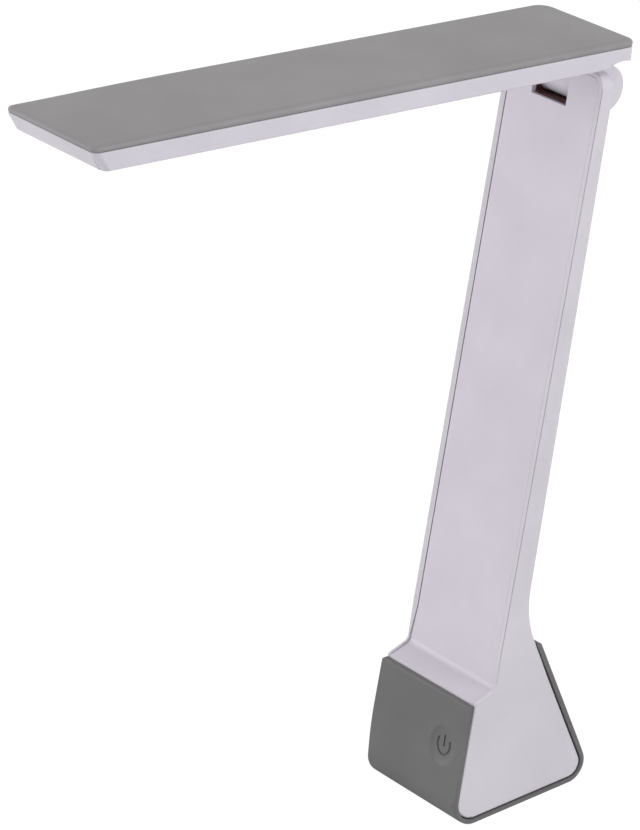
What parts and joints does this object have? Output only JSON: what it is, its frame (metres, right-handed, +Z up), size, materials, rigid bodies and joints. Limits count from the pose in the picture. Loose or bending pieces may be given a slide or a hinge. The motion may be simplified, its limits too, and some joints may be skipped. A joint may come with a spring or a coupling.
{
  "type": "folding desk lamp",
  "caption": "Folding desk lamp: a flat light head on a friction hinge at the top of a thin leaning arm, which rises from a wedge-shaped base with a touch dish.",
  "frame": {"origin": "centre of the foot pad's underside, on the surface that the lamp stands on", "axes": "+Z up, -Y the front, to which the light head reaches, +X the side of the touch dish"},
  "size_m": [0.061, 0.2803, 0.368],
  "materials": {
    "white_body": "satin moulded",
    "white_panel": "satin moulded",
    "white_head": "satin moulded",
    "grey_wrap": "fine matte texture",
    "grey_cover": "fine matte texture",
    "foot_rubber": "matte",
    "screw_steel": "zinc plated",
    "ballast_steel": "blanked and oiled",
    "hinge_steel": "turned",
    "socket_metal": "plated",
    "brass": "drawn",
    "foam": "matte",
    "cell_wrap": "shrink film",
    "board_green": "solder mask",
    "board_white": "white solder mask",
    "chip_black": "moulded",
    "cable_sheath": "satin",
    "lens_frosted": "frosted",
    "led_phosphor": "silicone"
  },
  "bodies": {
    "stand": {"arm_shell": "white_body", "arm_panel": "white_panel", "base_wrap": "grey_wrap", "foot_pad": "foot_rubber", "base_screws": "screw_steel", "ballast_plate": "ballast_steel", "ballast_screws": "screw_steel", "battery_pad": "foam", "battery_cell": "cell_wrap", "battery_leads": "cable_sheath", "control_board": "board_green", "board_parts": "chip_black", "board_screws": "screw_steel", "touch_spring": "brass", "charge_board": "board_green", "charge_socket": "socket_metal", "charge_leads": "cable_sheath", "arm_cable": "cable_sheath", "hinge_caps": "white_body", "friction_washers": "brass"},
    "head": {"hinge_pin": "hinge_steel", "disc_springs": "hinge_steel", "hinge_nut": "hinge_steel", "head_tray": "white_head", "head_cover": "grey_cover", "diffuser": "lens_frosted", "led_board": "board_white", "led_chips": "led_phosphor", "led_screws": "screw_steel", "head_cable": "cable_sheath"}
  },
  "joints": [
    {"name": "head_fold", "type": "hinge", "parent": "stand", "child": "head", "pos_m": [0, 0.04729, 0.32393], "axis": [1, 0, 0], "range_deg": [-96.88, 83.12]}
  ]
}
